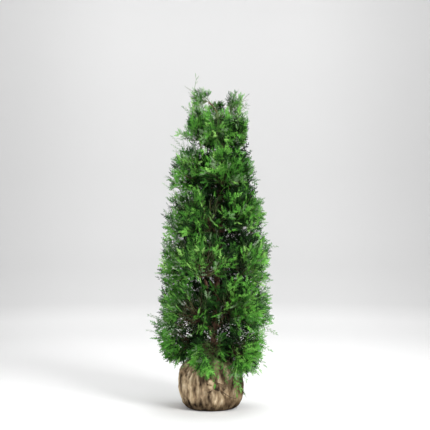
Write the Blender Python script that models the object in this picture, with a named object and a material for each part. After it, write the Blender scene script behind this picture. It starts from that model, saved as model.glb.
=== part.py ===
# Brabant arborvitae (a hedging conifer) with its root ball wrapped in jute cloth.
# Metres, +Z up. The origin is the centre of the ball's flat underside.
# -Y is the front of the plant, and +X is its right seen from the front.
import math

import bmesh
import bpy
from mathutils import Matrix, Vector, noise

# ---------------------------------------------------------------- sizes
TOP_Z = 1.804            # tip of the leader above the underside of the ball
BALL_R = 0.171           # widest radius of the wrapped root ball
BALL_H = 0.270           # height of the ball at the foot of the trunk
BALL_BELLY_Z = 0.140     # height of the widest place
FOOT_R = 0.112           # radius of the flat underside
CROWN_LOW_Z = 0.095      # lowest hanging spray
GAP = 0.0006             # free space between neighbouring pieces
TRUNK_R = 0.0165         # trunk just above its flare
FLARE_R = 0.0270         # trunk at its flat cut on the ball
FORK_Z = 1.475           # where the trunk parts into two leaders

# Crown outline: reach from the trunk's line to the left, right, front and back.
#            z      left   right  front  back
OUTLINE = ((0.095, 0.150, 0.190, 0.215, 0.190),
           (0.200, 0.205, 0.235, 0.250, 0.225),
           (0.300, 0.262, 0.262, 0.272, 0.255),
           (0.420, 0.300, 0.290, 0.290, 0.280),
           (0.560, 0.300, 0.300, 0.298, 0.290),
           (0.720, 0.300, 0.285, 0.295, 0.290),
           (0.900, 0.305, 0.275, 0.280, 0.285),
           (1.040, 0.300, 0.235, 0.260, 0.265),
           (1.220, 0.280, 0.185, 0.225, 0.230),
           (1.380, 0.245, 0.135, 0.185, 0.190),
           (1.500, 0.205, 0.130, 0.155, 0.160),
           (1.600, 0.185, 0.128, 0.120, 0.125),
           (1.700, 0.170, 0.135, 0.060, 0.060))

# Trunk line, from its flat cut to the fork: x, y, z, radius.
TRUNK = ((0.012, 0.000, BALL_H + 0.0003, FLARE_R),
         (0.012, 0.000, BALL_H + 0.014, 0.0222),
         (0.013, 0.000, BALL_H + 0.045, 0.0178),
         (0.018, -0.004, 0.420, TRUNK_R),
         (0.028, 0.003, 0.600, 0.0150),
         (0.040, 0.006, 0.800, 0.0132),
         (0.050, 0.000, 1.000, 0.0114),
         (0.058, -0.005, 1.180, 0.0094),
         (0.061, -0.003, 1.340, 0.0076),
         (0.060, 0.000, FORK_Z, 0.0062))

LEADERS = {
    "leader_left": ((0.0560, -0.002, FORK_Z + 0.010, 0.0036),
                    (0.0480, -0.005, 1.555, 0.0034),
                    (0.0160, -0.008, 1.618, 0.0031),
                    (-0.0180, -0.010, 1.650, 0.0028)),
    "leader_right": ((0.0660, 0.002, FORK_Z + 0.010, 0.0034),
                     (0.0760, 0.004, 1.540, 0.0031),
                     (0.1000, 0.006, 1.592, 0.0028)),
}
CARRIED = {"leader_left": "top_left", "leader_right": "top_right"}

# Long limbs that show through the front of the crown: the mass that each carries, and its line.
STEMS = {
    "middle_mass_1": ("stem_left", ((0.016, -0.002, 0.355), (-0.004, -0.050, 0.430), (-0.014, -0.082, 0.550),
                                    (-0.016, -0.104, 0.640), (-0.034, -0.126, 0.700))),
    "middle_mass_2": ("stem_right", ((0.020, -0.002, 0.420), (0.060, -0.044, 0.480), (0.094, -0.070, 0.550),
                                     (0.118, -0.078, 0.640), (0.132, -0.084, 0.690))),
    "head_left": ("shoot_left", ((0.058, -0.005, 1.235), (0.012, -0.010, 1.300), (-0.030, -0.012, 1.355),
                                 (-0.052, -0.012, 1.400), (-0.060, -0.012, 1.430))),
}
STEM_THICK = {"stem_left": 0.0062, "stem_right": 0.0062, "shoot_left": 0.0040}

# Foliage masses by tier: name, height of the centre, number, first azimuth,
# share of the outline at which the centres stand, half height, half width.
TIERS = (("lower", 0.540, 5, 236.0, 0.58, 0.185, 0.195),
         ("middle", 0.800, 5, 252.0, 0.57, 0.185, 0.190),
         ("upper", 1.035, 4, 236.0, 0.55, 0.180, 0.190),
         ("shoulder", 1.240, 4, 275.0, 0.53, 0.160, 0.165))

# Hanging masses round the ball: azimuth, height and share of the outline of the
# centre, half height, half width, and the lowest point. The ball stays bare on the left.
SKIRT = {"skirt_mass_1": (276.0, 0.285, 0.80, 0.185, 0.120, 0.125),
         "skirt_mass_2": (322.0, 0.275, 0.78, 0.195, 0.150, 0.085),
         "skirt_mass_3": (28.0, 0.305, 0.76, 0.175, 0.185, 0.160),
         "skirt_mass_4": (104.0, 0.310, 0.76, 0.170, 0.185, 0.190),
         "skirt_mass_5": (188.0, 0.345, 0.78, 0.150, 0.185, 0.235)}

# Masses at the head of the crown: x, y, z of the centre, half depth, half height.
HEAD = {"head_left": (-0.072, -0.012, 1.480, 0.105, 0.140),
        "head_centre": (0.030, 0.062, 1.465, 0.115, 0.150),
        "head_front": (0.034, -0.070, 1.445, 0.110, 0.145),
        "head_right": (0.135, 0.004, 1.470, 0.095, 0.140),
        "top_left": (-0.060, -0.012, 1.665, 0.062, 0.080),
        "top_centre": (0.030, 0.030, 1.585, 0.050, 0.070),
        "top_right": (0.138, 0.008, 1.632, 0.062, 0.085)}

# The furthest tips of single sprays, as the outline shows them: x, y, z.
TIPS = ((-0.352, -0.020, 0.421), (-0.349, 0.000, 0.488), (-0.303, -0.020, 0.708),
        (-0.262, -0.020, 0.886), (-0.250, 0.010, 1.030), (-0.240, -0.020, 1.118),
        (-0.232, 0.000, 1.212), (-0.221, 0.000, 1.470), (-0.210, -0.010, 1.330),
        (0.352, -0.010, 0.472), (0.356, -0.040, 0.390), (0.318, -0.060, 0.300),
        (0.357, 0.000, 0.866), (0.302, 0.010, 0.700), (0.287, 0.000, 1.105),
        (0.220, 0.000, 1.210), (0.182, 0.000, 1.340), (0.318, 0.020, 0.590),
        (-0.166, -0.010, 1.628), (-0.148, -0.010, 1.738), (0.212, 0.006, 1.692),
        (0.200, -0.010, 1.580), (0.110, 0.010, 1.690), (-0.032, -0.210, 0.142),
        (0.160, -0.157, 0.100), (0.040, -0.310, 0.520), (-0.060, -0.290, 0.820),
        (0.120, -0.245, 1.010), (-0.120, 0.280, 0.640), (0.160, 0.270, 0.430),
        (0.060, 0.300, 0.930), (-0.080, 0.235, 1.190), (0.050, 0.190, 1.360),
        (-0.200, 0.210, 0.400), (0.230, 0.190, 0.720), (-0.040, -0.205, 1.260))


# ---------------------------------------------------------------- scene
for old in list(bpy.data.objects):
    bpy.data.objects.remove(old, do_unlink=True)

PLANT = bpy.data.collections.new("brabant_arborvitae")
HELPERS = bpy.data.collections.new("cutters")
for collection in (PLANT, HELPERS):
    bpy.context.scene.collection.children.link(collection)


def material(name, colour, roughness):
    made = bpy.data.materials.new(name)
    made.use_nodes = True
    shader = made.node_tree.nodes["Principled BSDF"]
    shader.inputs["Base Color"].default_value = (*colour, 1.0)
    shader.inputs["Roughness"].default_value = roughness
    shader.inputs["Metallic"].default_value = 0.0
    return made


BARK = material("bark", (0.23, 0.12, 0.08), 0.85)
LEAF = material("scale_leaves", (0.05, 0.16, 0.025), 0.55)
JUTE = material("jute_cloth", (0.42, 0.31, 0.20), 0.90)


def add(name, mesh, finish, collection=PLANT):
    made = bpy.data.objects.new(name, mesh)
    made.data.materials.clear()
    made.data.materials.append(finish)
    collection.objects.link(made)
    return made


def tube(name, points, finish, resolution=2, collection=PLANT, wider=0.0):
    """A limb: a bevelled curve through (x, y, z, radius) points, made a welded mesh."""
    curve = bpy.data.curves.new(name + "_line", "CURVE")
    curve.dimensions = "3D"
    curve.bevel_depth = 1.0
    curve.bevel_resolution = resolution
    curve.use_fill_caps = True
    spline = curve.splines.new("POLY")
    spline.points.add(len(points) - 1)
    for point, (x, y, z, radius) in zip(spline.points, points):
        point.co = (x, y, z, 1.0)
        point.radius = radius + wider
    line = bpy.data.objects.new(name + "_line", curve)
    bpy.context.scene.collection.objects.link(line)
    bpy.context.view_layer.update()
    graph = bpy.context.evaluated_depsgraph_get()
    mesh = bpy.data.meshes.new_from_object(line.evaluated_get(graph))
    shape = bmesh.new()
    shape.from_mesh(mesh)
    bmesh.ops.remove_doubles(shape, verts=shape.verts, dist=1e-5)
    bmesh.ops.recalc_face_normals(shape, faces=shape.faces)
    shape.to_mesh(mesh)
    shape.free()
    bpy.data.objects.remove(line, do_unlink=True)
    mesh.name = name
    mesh.shade_smooth()
    return add(name, mesh, finish, collection)


def smooth(low, high, value):
    t = min(1.0, max(0.0, (value - low) / (high - low)))
    return t * t * (3.0 - 2.0 * t)


def on_line(line, z):
    """x, y and radius of a limb's line at a height."""
    for (x0, y0, z0, r0), (x1, y1, z1, r1) in zip(line, line[1:]):
        if z <= z1 or (x1, y1, z1, r1) == line[-1]:
            t = min(1.0, max(0.0, (z - z0) / (z1 - z0)))
            return x0 + (x1 - x0) * t, y0 + (y1 - y0) * t, r0 + (r1 - r0) * t
    return line[-1][0], line[-1][1], line[-1][3]


def reach(azimuth, z):
    """The crown's reach from the trunk's line, in a direction and at a height."""
    z = min(OUTLINE[-1][0], max(OUTLINE[0][0], z))
    for low, high in zip(OUTLINE, OUTLINE[1:]):
        if z <= high[0]:
            t = (z - low[0]) / (high[0] - low[0])
            left, right, front, back = (a + (b - a) * t for a, b in zip(low[1:], high[1:]))
            break
    c, s = math.cos(azimuth), math.sin(azimuth)
    rx, ry = (right if c > 0 else left), (back if s > 0 else front)
    return 1.0 / math.sqrt((c / rx) ** 2 + (s / ry) ** 2)


def inside_outline(p):
    if not CROWN_LOW_Z <= p.z <= 1.715:
        return False
    x, y, _ = on_line(TRUNK, min(p.z, FORK_Z))
    dx, dy = p.x - x, p.y - y
    return math.hypot(dx, dy) < reach(math.atan2(dy, dx), p.z)


def way_to_outline(origin, direction, most):
    """How far a straight way runs before it leaves the crown's outline."""
    near, far = 0.0, most
    if inside_outline(origin + direction * far):
        return far
    for _ in range(18):
        half = 0.5 * (near + far)
        if inside_outline(origin + direction * half):
            near = half
        else:
            far = half
    return near


# ---------------------------------------------------------------- root ball
def ball_profile(t):
    """Radius and height on the ball for t from 0 (underside) to 1 (top), by quarter ellipses."""
    if t < 0.5:
        a = (t / 0.5) * math.pi / 2
        r = FOOT_R + (BALL_R - FOOT_R) * math.sin(a) ** 0.85
        z = BALL_BELLY_Z * (1 - math.cos(a))
    else:
        a = ((t - 0.5) / 0.5) * math.pi / 2
        r = 0.046 + (BALL_R - 0.046) * math.cos(a) ** 0.62
        z = BALL_BELLY_Z + (BALL_H - BALL_BELLY_Z) * math.sin(a) ** 1.15
    return r, z


def root_ball():
    shape = bmesh.new()
    around, up = 32, 13
    bmesh.ops.create_uvsphere(shape, u_segments=around, v_segments=up, radius=1.0)
    for v in shape.verts:
        polar = math.acos(max(-1.0, min(1.0, v.co.z)))      # 0 at the top
        ring = round((math.pi - polar) / math.pi * up)       # 0 at the underside
        angle = math.atan2(v.co.y, v.co.x)
        if ring == 0:
            v.co = (0.0, 0.0, 0.0)
            continue
        if ring == up:
            v.co = (0.012, 0.0, BALL_H)
            continue
        r, z = ball_profile((ring - 1) / (up - 2))
        flat = ring == 1 or ring == up - 1
        if ring == up - 1:                                   # the gather round the trunk stays level
            v.co = (0.012 + r * math.cos(angle), r * math.sin(angle), BALL_H)
            continue
        if not flat:
            # The ball sags: high shoulder on the left, low belly on the right.
            side = math.cos(angle)
            body = math.sin(math.pi * min(1.0, z / BALL_H))
            z -= 0.022 * side * body
            folds = 0.0045 * math.cos(9 * angle + 1.3) + 0.003 * math.cos(16 * angle + 4.0 + 9 * z)
            lump = 0.006 * noise.noise(Vector((math.cos(angle), math.sin(angle), z * 9.0)) * 1.7)
            r += (folds + lump) * body
        v.co = (r * math.cos(angle), r * math.sin(angle), z)
    bmesh.ops.recalc_face_normals(shape, faces=shape.faces)
    mesh = bpy.data.meshes.new("root_ball")
    shape.to_mesh(mesh)
    shape.free()
    mesh.shade_smooth()
    mesh.set_sharp_from_angle(angle=math.radians(40))
    return add("root_ball", mesh, JUTE)


def cloth_knot():
    """The tied corners of the cloth: a bunched knot low on the front, with its ear standing up."""
    shape = bmesh.new()
    bmesh.ops.create_icosphere(shape, subdivisions=2, radius=1.0)
    for v in shape.verts:
        d = v.co.copy()
        swell = 1.0 + 0.16 * noise.noise(d * 1.9 + Vector((3.0, 1.0, 7.0)))
        x, y, z = d.x * 0.027 * swell, d.y * 0.014 * swell, d.z * 0.021 * swell
        ear = smooth(0.45, 1.0, d.z)
        x, z = x * (1.0 - 0.45 * ear) - 0.010 * ear, z + 0.040 * ear
        v.co = (0.034 + x, -0.1790 + y, 0.142 + z)
    mesh = bpy.data.meshes.new("cloth_knot")
    shape.to_mesh(mesh)
    shape.free()
    mesh.shade_smooth()
    return add("cloth_knot", mesh, JUTE)


ball = root_ball()
ball_room = add("ball_room", ball.data.copy(), JUTE, HELPERS)
for vertex in ball_room.data.vertices:
    vertex.co += vertex.normal * 0.0008
ball_room.hide_render = True
ball_room.display_type = "WIRE"
knot = cloth_knot()
seat = knot.modifiers.new("lies_on_ball", "BOOLEAN")
seat.operation = "DIFFERENCE"
seat.solver = "EXACT"
seat.object = ball_room

# ---------------------------------------------------------------- trunk and leaders
trunk = tube("trunk", TRUNK, BARK, resolution=4)
trunk_room = tube("trunk_room", [(TRUNK[0][0], TRUNK[0][1], TRUNK[0][2] - 0.01, FLARE_R), *TRUNK[1:]],
                  BARK, resolution=4, collection=HELPERS, wider=0.0005)
trunk_room.hide_render = True
trunk_room.display_type = "WIRE"

LIMBS = [list(TRUNK)]
for leader, line in LEADERS.items():
    tube(leader, line, BARK)
    LIMBS.append(list(line))

# ---------------------------------------------------------------- places of the masses
MASSES = {}
for name, (azimuth, z, share, half_z, half_w, low) in SKIRT.items():
    x, y, _ = on_line(TRUNK, z)
    azimuth = math.radians(azimuth)
    far = share * reach(azimuth, z)
    MASSES[name] = {"centre": Vector((x + far * math.cos(azimuth), y + far * math.sin(azimuth), z)),
                    "azimuth": azimuth, "deep": 0.60 * half_w + 0.05, "wide": half_w, "high": half_z,
                    "low": low, "bough": True}
for tier, z, count, first, share, half_z, half_w in TIERS:
    for n in range(count):
        azimuth = math.radians(first + 360.0 * n / count + 9.0 * math.sin(2.3 * n + 7 * z))
        height = z + 0.028 * math.sin(1.9 * n + 11 * z)
        x, y, _ = on_line(TRUNK, height)
        far = share * reach(azimuth, height)
        centre = Vector((x + far * math.cos(azimuth), y + far * math.sin(azimuth), height))
        MASSES[f"{tier}_mass_{n + 1}"] = {"centre": centre, "azimuth": azimuth, "deep": 0.60 * half_w + 0.05,
                                          "wide": half_w, "high": half_z, "bough": True}
for name, (x, y, z, deep, high) in HEAD.items():
    MASSES[name] = {"centre": Vector((x, y, z)), "azimuth": math.atan2(y, x - 0.05), "deep": deep,
                    "wide": deep, "high": high, "bough": name in STEMS}
for leader, name in CARRIED.items():
    last, before = Vector(LEADERS[leader][-1][:3]), Vector(LEADERS[leader][-2][:3])
    MASSES[name]["entry"] = (last, (last - before).normalized())

# ---------------------------------------------------------------- boughs
BOUGH_DROP = 0.105       # a bough leaves the trunk this far below the foliage that it carries
BOUGHS = {}
for order, (name, mass) in enumerate(MASSES.items()):
    if not mass["bough"]:
        continue
    centre, azimuth = mass["centre"], mass["azimuth"]
    if name in STEMS:
        limb, way = STEMS[name]
        line = [(*p, STEM_THICK[limb] * (1.0 - 0.10 * k)) for k, p in enumerate(way)]
        BOUGHS[limb] = line
        LIMBS.append(line)
        mass["entry"] = (Vector(way[-1]), (Vector(way[-1]) - Vector(way[-2])).normalized())
        continue
    base_z = max(BALL_H + 0.052 + 0.014 * (order % 3), centre.z - BOUGH_DROP - 0.016 * (order % 3))
    x, y, r = on_line(TRUNK, base_z)
    out = Vector((math.cos(azimuth), math.sin(azimuth), 0.0))
    start = Vector((x, y, base_z))
    flat = Vector((centre.x - x, centre.y - y, 0.0)).length
    end = start + out * (flat * 0.52) + Vector((0.0, 0.0, (centre.z - base_z) * 0.66))
    bend = start + out * (flat * 0.30) + Vector((0.0, 0.0, (centre.z - base_z) * 0.30))
    thick = 0.0030 + 0.0034 * (r / TRUNK_R)
    line = []
    for step in range(5):
        t = step / 4
        p = start * (1 - t) ** 2 + bend * 2 * t * (1 - t) + end * t * t
        line.append((p.x, p.y, p.z, thick * (1.0 - 0.45 * t)))
    BOUGHS[name.replace("_mass_", "_bough_")] = line
    LIMBS.append(line)
    last = Vector(line[-1][:3])
    along = (last - Vector(line[-2][:3])).normalized()
    mass["entry"] = (last, along)

for name, line in BOUGHS.items():
    limb = tube(name, line, BARK)
    cut = limb.modifiers.new("meets_trunk", "BOOLEAN")
    cut.operation = "DIFFERENCE"
    cut.solver = "EXACT"
    cut.object = trunk_room

# ---------------------------------------------------------------- foliage masses
def planes_of(name, mass):
    """Planes (normal, offset) that bound a mass: every point of it keeps normal . p <= offset."""
    c = mass["centre"]
    planes = []
    for other, their in MASSES.items():
        if other == name:
            continue
        way = their["centre"] - c
        size, their_size = mass["deep"] + mass["high"], their["deep"] + their["high"]
        n = way.normalized()
        planes.append((n, n.dot(c) + way.length * size / (size + their_size) - GAP))
    for line in LIMBS:
        for (x0, y0, z0, r0), (x1, y1, z1, r1) in zip(line, line[1:]):
            a, b = Vector((x0, y0, z0)), Vector((x1, y1, z1))
            t = min(1.0, max(0.0, (c - a).dot(b - a) / (b - a).length_squared))
            near = a + (b - a) * t
            n = (near - c).normalized()
            if mass.get("entry") and (near - mass["entry"][0]).length < 1e-4:
                continue                                     # its own bough: the entry plane does it
            planes.append((n, n.dot(near) - 1.03 * max(r0, r1) - GAP))
    if mass.get("entry"):
        last, along = mass["entry"]
        planes.append((-along, (-along).dot(last) - 0.0004))
    # The two hanging masses at the front part over the knot of the cloth.
    for owner, side in (("skirt_mass_1", 1.0), ("skirt_mass_2", -1.0)):
        if name == owner:
            n = Vector((0.9 * side, 0.0, -math.sqrt(1.0 - 0.81)))
            planes.append((n, n.dot(Vector((0.034 - 0.033 * side, 0.0, 0.200)))))
    if "low" in mass:
        planes.append((Vector((0.0, 0.0, -1.0)), -mass["low"]))
    # Clear of the wrapped ball: beside its belly, or over its shoulder.
    out = Vector((c.x, c.y, 0.0))
    for slope in ((0.32,) if name.startswith("skirt") else (0.6, 1.0, 1.35, math.pi / 2)):
        n = Vector((math.cos(slope) * c.x / out.length, math.cos(slope) * c.y / out.length, math.sin(slope)))
        edge = max(n.dot(Vector((r * c.x / out.length, r * c.y / out.length, z + 0.02)))
                   for r, z in ((ball_profile(k / 40)[0] + 0.010, ball_profile(k / 40)[1]) for k in range(41)))
        edge += 0.004
        mass.setdefault("ball", []).append((n.dot(c) - edge, n, edge))
    best = max(mass["ball"], key=lambda row: row[0])
    planes.append((-best[1], -best[2]))
    return planes


def foliage(name, mass):
    c = mass["centre"]
    planes = planes_of(name, mass)
    tips = [Vector(t) for t in TIPS if min(MASSES, key=lambda m: (MASSES[m]["centre"] - Vector(t)).length) == name]
    if name == "top_left":
        tips.append(Vector((-0.084, -0.010, TOP_Z)))                # the bare leader, over all the rest
    shape = bmesh.new()
    bmesh.ops.create_uvsphere(shape, u_segments=14, v_segments=9, radius=1.0)
    turn = Matrix.Rotation(mass["azimuth"], 3, "Z")
    seed = Vector((sum(map(ord, name)) * 0.37, c.z * 5.0, mass["azimuth"]))
    taken = set()
    for v in shape.verts:
        d = (turn @ v.co).normalized()
        local = v.co.normalized()
        own = 1.0 / math.sqrt((local.x / mass["deep"]) ** 2 + (local.y / mass["wide"]) ** 2 + (local.z / mass["high"]) ** 2)
        own *= 1.22 + 0.34 * noise.noise(local * 2.1 + seed)
        edge = way_to_outline(c, d, 0.5) * (0.96 + 0.16 * noise.noise(local * 3.3 + seed))
        cell = min((offset - n.dot(c)) / n.dot(d) for n, offset in planes if n.dot(d) > 1e-6) \
            if any(n.dot(d) > 1e-6 for n, _ in planes) else 0.6
        # A smooth least of the three rounds the corners and never passes a plane.
        far = (own ** -9 + edge ** -9 + cell ** -9) ** (-1 / 9)
        v.co = c + d * far
    for tip in tips:
        way = (tip - c).normalized()
        best = max((v for v in shape.verts if v.index not in taken), key=lambda v: (v.co - c).normalized().dot(way))
        if all(n.dot(tip) <= offset for n, offset in planes):
            best.co = tip
            taken.add(best.index)
        else:
            print("tip outside its cell", name, [round(k, 3) for k in tip],
                  [([round(k, 2) for k in n], round(n.dot(tip) - offset, 4)) for n, offset in planes if n.dot(tip) > offset])
    bmesh.ops.recalc_face_normals(shape, faces=shape.faces)
    mesh = bpy.data.meshes.new(name)
    shape.to_mesh(mesh)
    shape.free()
    mesh.shade_smooth()
    return add(name, mesh, LEAF)


for name, mass in MASSES.items():
    margin = min(o - n.dot(mass["centre"]) for n, o in planes_of(name, mass))
    if margin < 0.004:
        print("centre too near a plane:", name, round(margin, 4))
    mass["ball"] = []
    foliage(name, mass)
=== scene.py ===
# Looks of a Brabant arborvitae with its root ball wrapped in jute cloth.
# Metres, +Z up, -Y the front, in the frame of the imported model.
import math

import bpy
import numpy as np
from mathutils import Matrix, Vector, noise
from mathutils.bvhtree import BVHTree


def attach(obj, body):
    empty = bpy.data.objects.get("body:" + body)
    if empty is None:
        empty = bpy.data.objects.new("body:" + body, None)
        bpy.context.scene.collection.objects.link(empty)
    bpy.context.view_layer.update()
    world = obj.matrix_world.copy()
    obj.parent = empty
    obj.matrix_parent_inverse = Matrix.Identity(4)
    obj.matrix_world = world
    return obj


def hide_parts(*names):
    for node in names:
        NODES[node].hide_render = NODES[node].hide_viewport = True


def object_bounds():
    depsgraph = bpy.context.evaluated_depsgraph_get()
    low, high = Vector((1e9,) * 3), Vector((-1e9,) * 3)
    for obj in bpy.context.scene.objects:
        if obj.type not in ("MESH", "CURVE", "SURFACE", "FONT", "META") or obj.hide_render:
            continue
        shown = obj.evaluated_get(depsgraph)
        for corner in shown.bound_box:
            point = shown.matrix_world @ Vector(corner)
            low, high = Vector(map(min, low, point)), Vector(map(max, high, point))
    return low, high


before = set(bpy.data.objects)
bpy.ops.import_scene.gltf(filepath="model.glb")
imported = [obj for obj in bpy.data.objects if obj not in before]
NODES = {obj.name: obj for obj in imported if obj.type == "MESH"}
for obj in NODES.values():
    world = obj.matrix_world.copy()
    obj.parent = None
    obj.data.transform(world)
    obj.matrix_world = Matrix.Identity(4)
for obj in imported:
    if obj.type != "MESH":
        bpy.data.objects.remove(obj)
CAD_BOX = [list(corner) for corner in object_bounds()]
SCENE = bpy.context.scene

# ---------------------------------------------------------------- sizes
PIXEL = 0.0054           # metres at the trunk for one step of the 430-step frame
FOOT_ROW = 407.1         # row of the floor under the trunk
AXIS_COLUMN = 211.0      # column of the ball's middle
CAMERA_Z, CAMERA_BACK = 1.0373, 5.5
BALL_R, BALL_H, BALL_BELLY_Z, FOOT_R = 0.171, 0.270, 0.140, 0.112
UP = np.array((0.0, 0.0, 1.0))


def at(column, row, y=0.0):
    """The point at depth y that the camera sees at a column and row."""
    away = (CAMERA_BACK + y) / CAMERA_BACK
    x = (AXIS_COLUMN + 4.0 - AXIS_COLUMN) * PIXEL + (column - 215.0) * PIXEL * away
    z = CAMERA_Z + (215.0 - row) * PIXEL * away
    return np.array((x, y, z))


# ---------------------------------------------------------------- camera, floor and light
def make_camera():
    data = bpy.data.cameras.new("camera")
    data.sensor_width = 36.0
    data.sensor_fit = "HORIZONTAL"
    data.lens = 36.0 * (CAMERA_BACK / PIXEL) / 430.0
    data.clip_end = 60.0
    made = bpy.data.objects.new("camera", data)
    made.location = (4.0 * PIXEL, -CAMERA_BACK, CAMERA_Z)
    made.rotation_euler = (math.radians(90.0), 0.0, 0.0)
    SCENE.collection.objects.link(made)
    SCENE.camera = made


def area(name, place, aim, size, power, colour=(1.0, 1.0, 1.0)):
    data = bpy.data.lights.new(name, "AREA")
    data.shape = "RECTANGLE"
    data.size, data.size_y = size
    data.energy = power
    data.color = colour
    made = bpy.data.objects.new(name, data)
    made.location = place
    made.rotation_euler = (Vector(aim) - Vector(place)).to_track_quat("-Z", "Y").to_euler()
    SCENE.collection.objects.link(made)
    made.visible_camera = False
    return made


def make_stage():
    """A round studio: a pale floor that sweeps up into a pale wall, its grey painted with light and shade: darker in
    the cove, lighter up the wall, and darker towards the sides.
    """
    profile = []
    floor_r, cove, top = 3.6, 3.2, 9.0
    for k in range(14):
        profile.append((floor_r * (k / 13.0) ** 0.8, 0.0))
    for k in range(1, 25):
        a = math.radians(90.0 * k / 24.0)
        profile.append((floor_r + cove * math.sin(a), cove * (1.0 - math.cos(a))))
    profile.append((floor_r + cove, top))
    around = 96
    verts, faces = [(0.0, 0.0, 0.0)], []
    rings = profile[1:]
    for r, z in rings:
        for k in range(around):
            a = 2 * math.pi * k / around
            verts.append((r * math.cos(a), r * math.sin(a), z))
    for k in range(around):
        faces.append((0, 1 + k, 1 + (k + 1) % around))
    for ring in range(len(rings) - 1):
        a, b = 1 + ring * around, 1 + (ring + 1) * around
        for k in range(around):
            n = (k + 1) % around
            faces.append((a + k, b + k, b + n, a + n))
    mesh = bpy.data.meshes.new("studio_floor")
    mesh.from_pydata(verts, [], faces)
    mesh.shade_smooth()
    made = bpy.data.objects.new("studio_floor", mesh)
    SCENE.collection.objects.link(made)
    mat = bpy.data.materials.new("studio_paper")
    mat.use_nodes = True
    nodes, links = mat.node_tree.nodes, mat.node_tree.links
    shader = nodes["Principled BSDF"]
    shader.inputs["Roughness"].default_value = 1.0
    shader.inputs["Specular IOR Level"].default_value = 0.0
    place = nodes.new("ShaderNodeTexCoord")
    split = nodes.new("ShaderNodeSeparateXYZ")
    links.new(place.outputs["Object"], split.inputs[0])
    # painted light and shade: the paper's grey by height, darker in the cove and lighter up the wall
    height = nodes.new("ShaderNodeMapRange")
    height.inputs["From Max"].default_value = 5.0
    links.new(split.outputs["Z"], height.inputs["Value"])
    ramp = nodes.new("ShaderNodeValToRGB")
    stops = STAGE_PAINTED_LIGHT_STOPS
    while len(ramp.color_ramp.elements) < len(stops):
        ramp.color_ramp.elements.new(0.5)
    for element, (where, value) in zip(ramp.color_ramp.elements, stops):
        element.position = where
        element.color = (value, value, value, 1.0)
    links.new(height.outputs["Result"], ramp.inputs["Fac"])
    aside = nodes.new("ShaderNodeMath")
    aside.operation = "ABSOLUTE"
    links.new(split.outputs["X"], aside.inputs[0])
    # painted shade: the paper darkens towards the sides
    painted_side_shade = nodes.new("ShaderNodeMapRange")
    painted_side_shade.interpolation_type = "SMOOTHSTEP"
    painted_side_shade.inputs["From Min"].default_value = 0.9
    painted_side_shade.inputs["From Max"].default_value = 2.9
    painted_side_shade.inputs["To Min"].default_value = 1.0
    painted_side_shade.inputs["To Max"].default_value = 0.80
    links.new(aside.outputs[0], painted_side_shade.inputs["Value"])
    tone = nodes.new("ShaderNodeVectorMath")
    tone.operation = "SCALE"
    links.new(ramp.outputs["Color"], tone.inputs[0])
    links.new(painted_side_shade.outputs["Result"], tone.inputs["Scale"])
    links.new(tone.outputs["Vector"], shader.inputs["Base Color"])
    mesh.materials.append(mat)


# grey of the studio paper by height, with painted light and shade: darker in the cove, lighter up the wall
STAGE_PAINTED_LIGHT_STOPS = ((0.0, 0.93), (0.012, 0.93), (0.036, 0.80), (0.10, 0.77), (0.16, 0.79), (0.30, 0.80), (0.60, 0.87), (1.0, 0.90))
make_camera()
make_stage()

world = bpy.data.worlds.new("studio")
SCENE.world = world
world.use_nodes = True
world.node_tree.nodes["Background"].inputs["Color"].default_value = (1.0, 1.0, 1.0, 1.0)
world.node_tree.nodes["Background"].inputs["Strength"].default_value = 0.33
area("key", (2.6, -3.4, 3.6), (0.0, 0.0, 0.9), (1.6, 2.2), 235.0)
area("fill", (-3.2, -3.0, 1.8), (0.0, 0.0, 0.9), (2.2, 2.8), 40.0)
area("top", (0.3, 0.6, 4.6), (0.0, 0.0, 0.9), (2.4, 2.4), 75.0)
area("wall_wash", (0.0, 2.0, 5.5), (0.0, 6.0, 2.0), (5.0, 1.5), 85.0)

SCENE.view_settings.view_transform = "Standard"
SCENE.view_settings.look = "None"
SCENE.view_settings.exposure = 0.0
SCENE.view_settings.gamma = 1.0


# ---------------------------------------------------------------- materials
def plain(name, colour, roughness, specular=0.5):
    made = bpy.data.materials.new(name)
    made.use_nodes = True
    shader = made.node_tree.nodes["Principled BSDF"]
    shader.inputs["Base Color"].default_value = (*colour, 1.0)
    shader.inputs["Roughness"].default_value = roughness
    shader.inputs["Specular IOR Level"].default_value = specular
    return made


TINTS = ["shade", "deep", "mid", "fresh", "bright", "lime", "grey", "dead"]
# the shade tint is a near-black green that paints the shade deep in the crown; the deep tint is a dark green that
# stands partly for darker inner foliage and partly for painted shade
LEAF = {"shade": plain("leaf_painted_shade", (0.005, 0.017, 0.004), 0.75, 0.12),
        "deep": plain("leaf_deep", (0.014, 0.060, 0.009), 0.60, 0.20),
        "mid": plain("leaf_mid", (0.052, 0.205, 0.022), 0.55, 0.25),
        "fresh": plain("leaf_fresh", (0.105, 0.365, 0.040), 0.52, 0.28),
        "bright": plain("leaf_bright", (0.190, 0.520, 0.075), 0.50, 0.30),
        "lime": plain("leaf_lime", (0.320, 0.650, 0.140), 0.50, 0.30),
        "grey": plain("leaf_grey", (0.230, 0.360, 0.180), 0.48, 0.35),
        "dead": plain("leaf_dead", (0.190, 0.095, 0.040), 0.70, 0.30)}


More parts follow.
